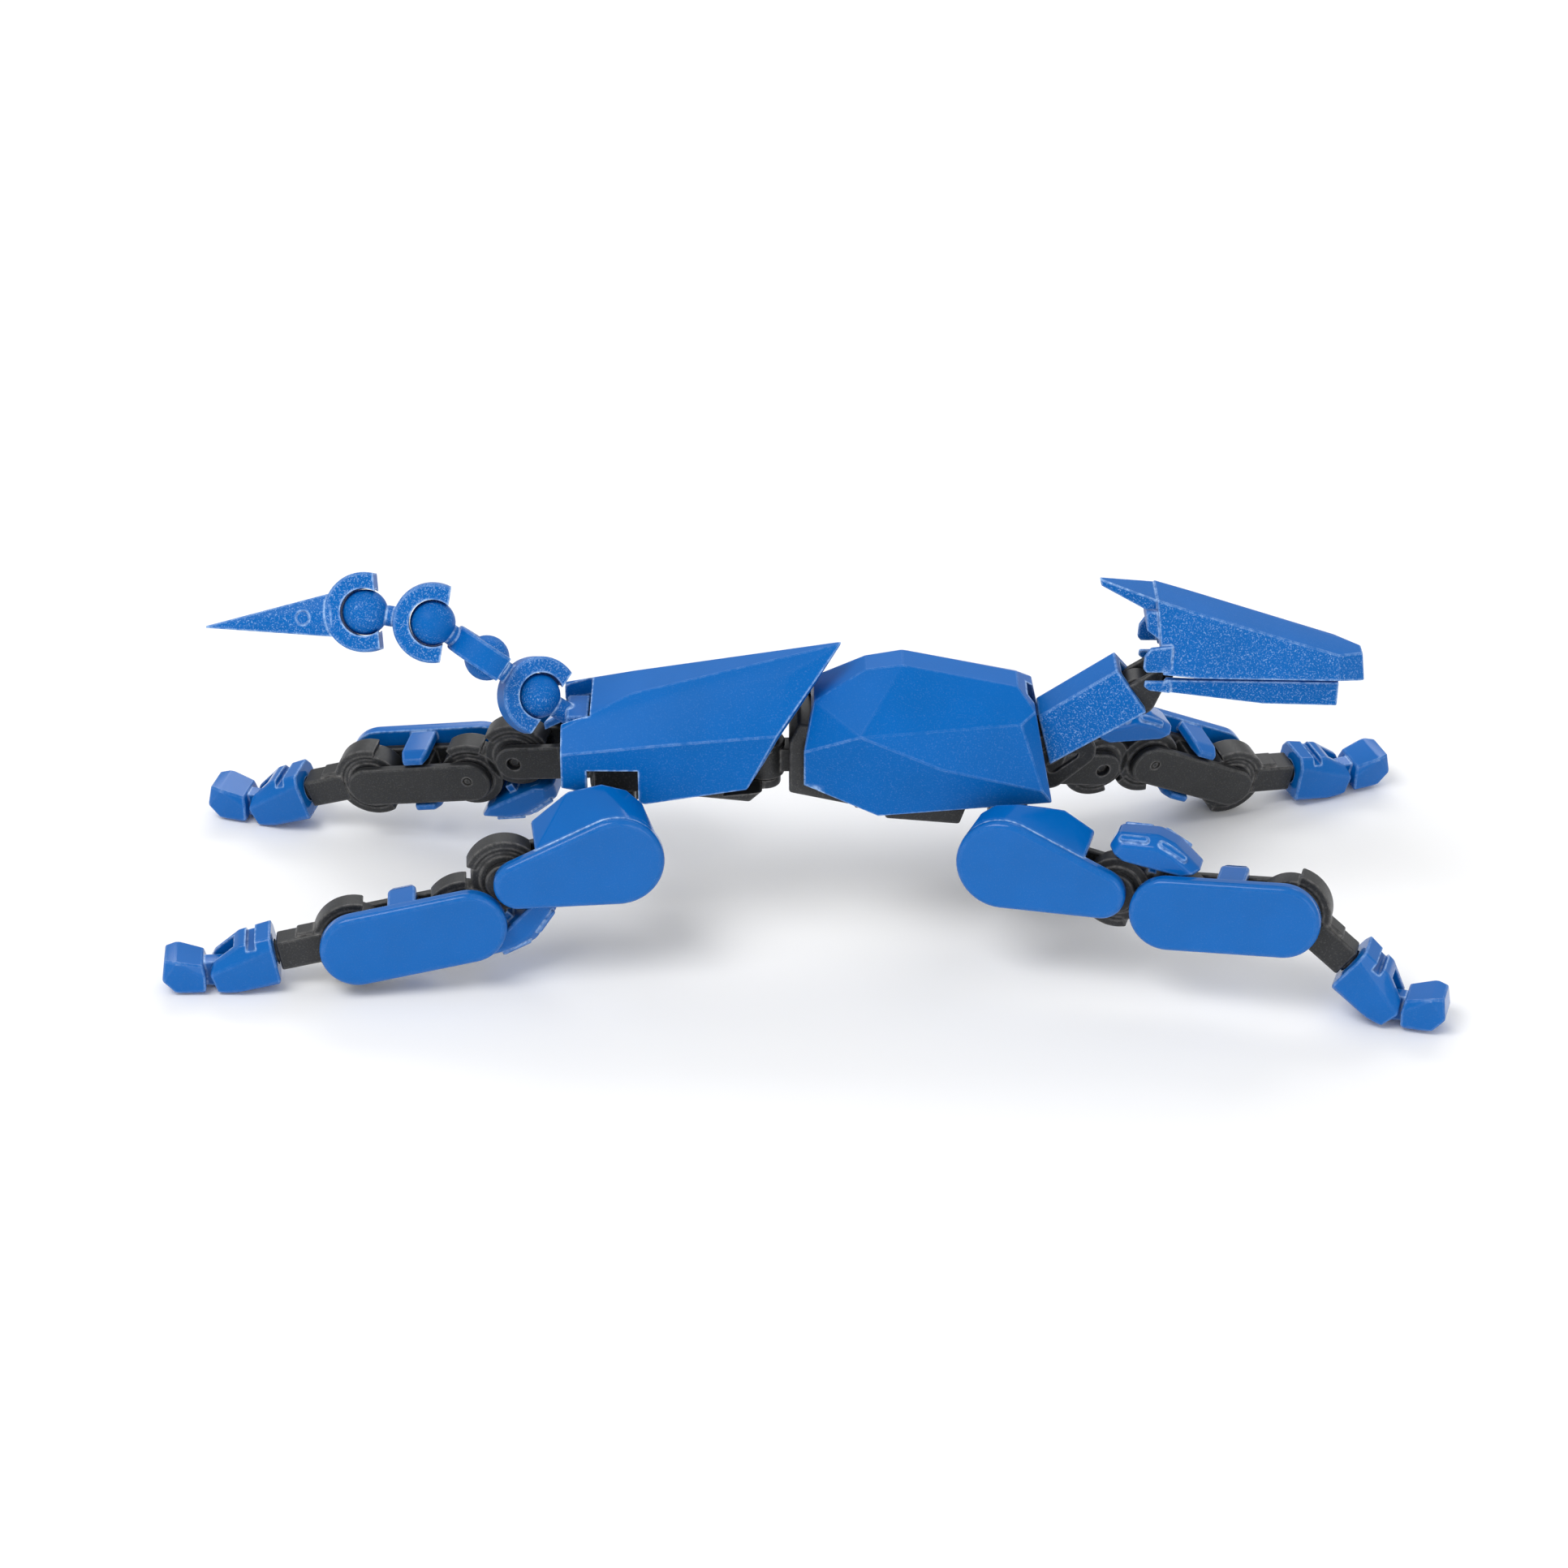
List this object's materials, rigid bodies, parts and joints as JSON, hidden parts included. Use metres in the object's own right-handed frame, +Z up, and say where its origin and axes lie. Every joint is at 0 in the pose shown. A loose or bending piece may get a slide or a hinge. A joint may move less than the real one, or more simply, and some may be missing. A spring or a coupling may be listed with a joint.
{
  "type": "articulated beast robot",
  "caption": "Four-legged robot animal from a snap-together kit: faceted blue armour on black jointed frames, segmented tail, wedge head with jaw.",
  "frame": {"origin": "centre of the bounding box on the floor plane, under the lowest foot", "axes": "+X toward the head, +Y to the animal's left, +Z up"},
  "size_m": [0.1556, 0.0638, 0.0467],
  "materials": {
    "gloss_blue": "smooth gloss moulded plastic",
    "grained_blue": "finely grained moulded plastic",
    "black_frame": "satin moulded plastic with rubbed edges"
  },
  "bodies": {
    "hips": {"rear_frame": "black_frame", "rear_shell": "grained_blue", "tail_base": "grained_blue"},
    "waist": {"waist_link": "black_frame"},
    "chest": {"chest_frame": "black_frame", "chest_shell": "grained_blue"},
    "neck": {"neck_link": "black_frame", "neck_cover": "grained_blue"},
    "head_mount": {"head_mount": "black_frame"},
    "head": {"skull": "grained_blue"},
    "jaw": {"jaw": "grained_blue"},
    "tail_link_1": {"tail_link_1": "grained_blue"},
    "tail_link_2": {"tail_link_2": "grained_blue"},
    "tail_link_3": {"tail_link_3": "grained_blue"},
    "tail_tip": {"tail_tip": "grained_blue"},
    "rear_right_hip": {"rear_right_hip_yoke": "black_frame"},
    "rear_right_thigh": {"rear_right_thigh_frame": "black_frame", "rear_right_thigh_armor": "gloss_blue"},
    "rear_right_knee": {"rear_right_knee_link": "black_frame", "rear_right_knee_guard": "gloss_blue"},
    "rear_right_shin": {"rear_right_shin_frame": "black_frame", "rear_right_shin_armor": "gloss_blue"},
    "rear_right_ankle": {"rear_right_ankle_link": "black_frame"},
    "rear_right_foot": {"rear_right_foot_heel": "gloss_blue"},
    "rear_right_toe": {"rear_right_foot_toe": "gloss_blue"},
    "rear_left_hip": {"rear_left_hip_yoke": "black_frame"},
    "rear_left_thigh": {"rear_left_thigh_frame": "black_frame", "rear_left_thigh_armor": "gloss_blue"},
    "rear_left_knee": {"rear_left_knee_link": "black_frame", "rear_left_knee_guard": "gloss_blue"},
    "rear_left_shin": {"rear_left_shin_frame": "black_frame", "rear_left_shin_armor": "gloss_blue"},
    "rear_left_ankle": {"rear_left_ankle_link": "black_frame"},
    "rear_left_foot": {"rear_left_foot_heel": "gloss_blue"},
    "rear_left_toe": {"rear_left_foot_toe": "gloss_blue"},
    "front_right_hip": {"front_right_hip_yoke": "black_frame"},
    "front_right_thigh": {"front_right_thigh_frame": "black_frame", "front_right_thigh_armor": "gloss_blue"},
    "front_right_knee": {"front_right_knee_link": "black_frame", "front_right_knee_guard": "gloss_blue"},
    "front_right_shin": {"front_right_shin_frame": "black_frame", "front_right_shin_armor": "gloss_blue"},
    "front_right_ankle": {"front_right_ankle_link": "black_frame"},
    "front_right_foot": {"front_right_foot_heel": "gloss_blue"},
    "front_right_toe": {"front_right_foot_toe": "gloss_blue"},
    "front_left_hip": {"front_left_hip_yoke": "black_frame"},
    "front_left_thigh": {"front_left_thigh_frame": "black_frame", "front_left_thigh_armor": "gloss_blue"},
    "front_left_knee": {"front_left_knee_link": "black_frame", "front_left_knee_guard": "gloss_blue"},
    "front_left_shin": {"front_left_shin_frame": "black_frame", "front_left_shin_armor": "gloss_blue"},
    "front_left_ankle": {"front_left_ankle_link": "black_frame"},
    "front_left_foot": {"front_left_foot_heel": "gloss_blue"},
    "front_left_toe": {"front_left_foot_toe": "gloss_blue"}
  },
  "joints": [
    {"name": "waist_yaw", "type": "hinge", "parent": "hips", "child": "waist", "pos_m": [-0.0048, -0.0025, 0.022], "axis": [0, 0, 1], "range_deg": [-9, 9]},
    {"name": "waist_pitch", "type": "hinge", "parent": "waist", "child": "chest", "pos_m": [0.0032, -0.0025, 0.022], "axis": [0, 1, 0], "range_deg": [-5, 8]},
    {"name": "neck_pitch", "type": "hinge", "parent": "chest", "child": "neck", "pos_m": [0.0326, -0.0025, 0.0256], "axis": [0, 1, 0], "range_deg": [-14, 25]},
    {"name": "head_pitch", "type": "hinge", "parent": "neck", "child": "head_mount", "pos_m": [0.0404, -0.0025, 0.031], "axis": [0, 1, 0], "range_deg": [-20, 20]},
    {"name": "head_yaw", "type": "hinge", "parent": "head_mount", "child": "head", "pos_m": [0.046, -0.0025, 0.038], "axis": [0, 0, 1], "range_deg": [-12, 12]},
    {"name": "jaw_hinge", "type": "hinge", "parent": "head", "child": "jaw", "pos_m": [0.044, -0.0025, 0.034], "axis": [0, 1, 0], "range_deg": [0, 18]},
    {"name": "tail_bend_1", "type": "hinge", "parent": "hips", "child": "tail_link_1", "pos_m": [-0.0323, -0.0025, 0.0302], "axis": [0.3757, -0.8192, 0.4334], "range_deg": [-12, 20]},
    {"name": "tail_bend_2", "type": "hinge", "parent": "tail_link_1", "child": "tail_link_2", "pos_m": [-0.0383, -0.0025, 0.0354], "axis": [0.5536, 0.4067, 0.7267], "range_deg": [-18, 18]},
    {"name": "tail_bend_3", "type": "hinge", "parent": "tail_link_2", "child": "tail_link_3", "pos_m": [-0.0446, -0.0025, 0.0402], "axis": [0.0701, -0.9135, 0.4006], "range_deg": [-28, 4]},
    {"name": "tail_bend_4", "type": "hinge", "parent": "tail_link_3", "child": "tail_tip", "pos_m": [-0.0526, -0.0025, 0.0416], "axis": [-0.0484, -0.8829, 0.467], "range_deg": [-24, 8]},
    {"name": "rear_right_hip_swing", "type": "hinge", "parent": "hips", "child": "rear_right_hip", "pos_m": [-0.0231, -0.00783, 0.01532], "axis": [0, -0.9962, 0.0872], "range_deg": [-8, 50]},
    {"name": "rear_right_hip_splay", "type": "hinge", "parent": "rear_right_hip", "child": "rear_right_thigh", "pos_m": [-0.0231, -0.0145, 0.0159], "axis": [-0.2215, 0.085, 0.9714], "range_deg": [-6, 24]},
    {"name": "rear_right_knee_upper", "type": "hinge", "parent": "rear_right_thigh", "child": "rear_right_knee", "pos_m": [-0.03612, -0.01592, 0.01306], "axis": [0.085, -0.9907, 0.1061], "range_deg": [-24, 8]},
    {"name": "rear_right_knee_lower", "type": "hinge", "parent": "rear_right_knee", "child": "rear_right_shin", "pos_m": [-0.04108, -0.01688, 0.00807], "axis": [0.085, -0.9907, 0.1061], "range_deg": [-20, 45]},
    {"name": "rear_right_ankle_bend", "type": "hinge", "parent": "rear_right_shin", "child": "rear_right_ankle", "pos_m": [-0.0545, -0.01828, 0.00572], "axis": [0.085, -0.9907, 0.1061], "range_deg": [-15, 35]},
    {"name": "rear_right_foot_twist", "type": "hinge", "parent": "rear_right_ankle", "child": "rear_right_foot", "pos_m": [-0.06626, -0.01951, 0.00364], "axis": [-0.9795, -0.1026, -0.1731], "range_deg": [-30, 30]},
    {"name": "rear_right_toe_bend", "type": "hinge", "parent": "rear_right_foot", "child": "rear_right_toe", "pos_m": [-0.07039, -0.01997, 0.0019], "axis": [0.1006, -0.9947, 0.0203], "range_deg": [-10, 30]},
    {"name": "rear_left_hip_swing", "type": "hinge", "parent": "hips", "child": "rear_left_hip", "pos_m": [-0.0231, 0.00282, 0.01541], "axis": [0, -0.9973, -0.0732], "range_deg": [-8, 50]},
    {"name": "rear_left_hip_splay", "type": "hinge", "parent": "rear_left_hip", "child": "rear_left_thigh", "pos_m": [-0.0231, 0.0095, 0.0159], "axis": [0.153, 0.0724, -0.9856], "range_deg": [-6, 24]},
    {"name": "rear_left_knee_upper", "type": "hinge", "parent": "rear_left_thigh", "child": "rear_left_knee", "pos_m": [-0.0361, 0.0122, 0.01408], "axis": [-0.1886, -0.9769, -0.101], "range_deg": [-24, 18]},
    {"name": "rear_left_knee_lower", "type": "hinge", "parent": "rear_left_knee", "child": "rear_left_shin", "pos_m": [-0.04198, 0.01371, 0.01041], "axis": [-0.1886, -0.9769, -0.101], "range_deg": [-20, 30]},
    {"name": "rear_left_ankle_bend", "type": "hinge", "parent": "rear_left_shin", "child": "rear_left_ankle", "pos_m": [-0.05519, 0.01651, 0.00805], "axis": [-0.1886, -0.9769, -0.101], "range_deg": [-15, 35]},
    {"name": "rear_left_foot_twist", "type": "hinge", "parent": "rear_left_ankle", "child": "rear_left_foot", "pos_m": [-0.06628, 0.01904, 0.00424], "axis": [0.9242, -0.2113, 0.3181], "range_deg": [-30, 30]},
    {"name": "rear_left_toe_bend", "type": "hinge", "parent": "rear_left_foot", "child": "rear_left_toe", "pos_m": [-0.07003, 0.01993, 0.00189], "axis": [-0.2124, -0.9767, -0.0317], "range_deg": [-6, 30]},
    {"name": "front_right_hip_swing", "type": "hinge", "parent": "chest", "child": "front_right_hip", "pos_m": [0.0252, -0.00783, 0.01459], "axis": [0, 0.9959, -0.0906], "range_deg": [-14, 50]},
    {"name": "front_right_hip_splay", "type": "hinge", "parent": "front_right_hip", "child": "front_right_thigh", "pos_m": [0.0252, -0.0145, 0.0152], "axis": [-0.2113, -0.0886, -0.9734], "range_deg": [-6, 24]},
    {"name": "front_right_knee_upper", "type": "hinge", "parent": "front_right_thigh", "child": "front_right_knee", "pos_m": [0.03789, -0.01804, 0.01277], "axis": [0.2414, 0.9603, -0.1398], "range_deg": [-16, 45]},
    {"name": "front_right_knee_lower", "type": "hinge", "parent": "front_right_knee", "child": "front_right_shin", "pos_m": [0.04466, -0.0199, 0.01172], "axis": [0.2414, 0.9603, -0.1398], "range_deg": [-12, 45]},
    {"name": "front_right_ankle_bend", "type": "hinge", "parent": "front_right_shin", "child": "front_right_ankle", "pos_m": [0.05795, -0.0231, 0.01265], "axis": [0.2414, 0.9603, -0.1398], "range_deg": [-30, 35]},
    {"name": "front_right_foot_twist", "type": "hinge", "parent": "front_right_ankle", "child": "front_right_foot", "pos_m": [0.06695, -0.02642, 0.00544], "axis": [-0.7501, 0.2761, 0.6009], "range_deg": [-30, 30]},
    {"name": "front_right_toe_bend", "type": "hinge", "parent": "front_right_foot", "child": "front_right_toe", "pos_m": [0.06966, -0.02751, 0.002], "axis": [0.2962, 0.9527, -0.0679], "range_deg": [-3, 30]},
    {"name": "front_left_hip_swing", "type": "hinge", "parent": "chest", "child": "front_left_hip", "pos_m": [0.0252, 0.00282, 0.01472], "axis": [0, 0.9974, 0.0715], "range_deg": [-14, 50]},
    {"name": "front_left_hip_splay", "type": "hinge", "parent": "front_left_hip", "child": "front_left_thigh", "pos_m": [0.0252, 0.0095, 0.0152], "axis": [0.274, -0.0688, 0.9593], "range_deg": [-6, 24]},
    {"name": "front_left_knee_upper", "type": "hinge", "parent": "front_left_thigh", "child": "front_left_knee", "pos_m": [0.03733, 0.01427, 0.01208], "axis": [-0.3258, 0.9318, 0.1598], "range_deg": [-16, 45]},
    {"name": "front_left_knee_lower", "type": "hinge", "parent": "front_left_knee", "child": "front_left_shin", "pos_m": [0.04393, 0.01673, 0.01123], "axis": [-0.3258, 0.9318, 0.1598], "range_deg": [-35, 30]},
    {"name": "front_left_ankle_bend", "type": "hinge", "parent": "front_left_shin", "child": "front_left_ankle", "pos_m": [0.05513, 0.0217, 0.0051], "axis": [-0.3258, 0.9318, 0.1598], "range_deg": [-30, 35]},
    {"name": "front_left_foot_twist", "type": "hinge", "parent": "front_left_ankle", "child": "front_left_foot", "pos_m": [0.06631, 0.02584, 0.00369], "axis": [0.931, 0.3457, -0.1177], "range_deg": [-30, 30]},
    {"name": "front_left_toe_bend", "type": "hinge", "parent": "front_left_foot", "child": "front_left_toe", "pos_m": [0.07026, 0.02741, 0.00218], "axis": [-0.3367, 0.9374, 0.0893], "range_deg": [-10, 30]}
  ]
}
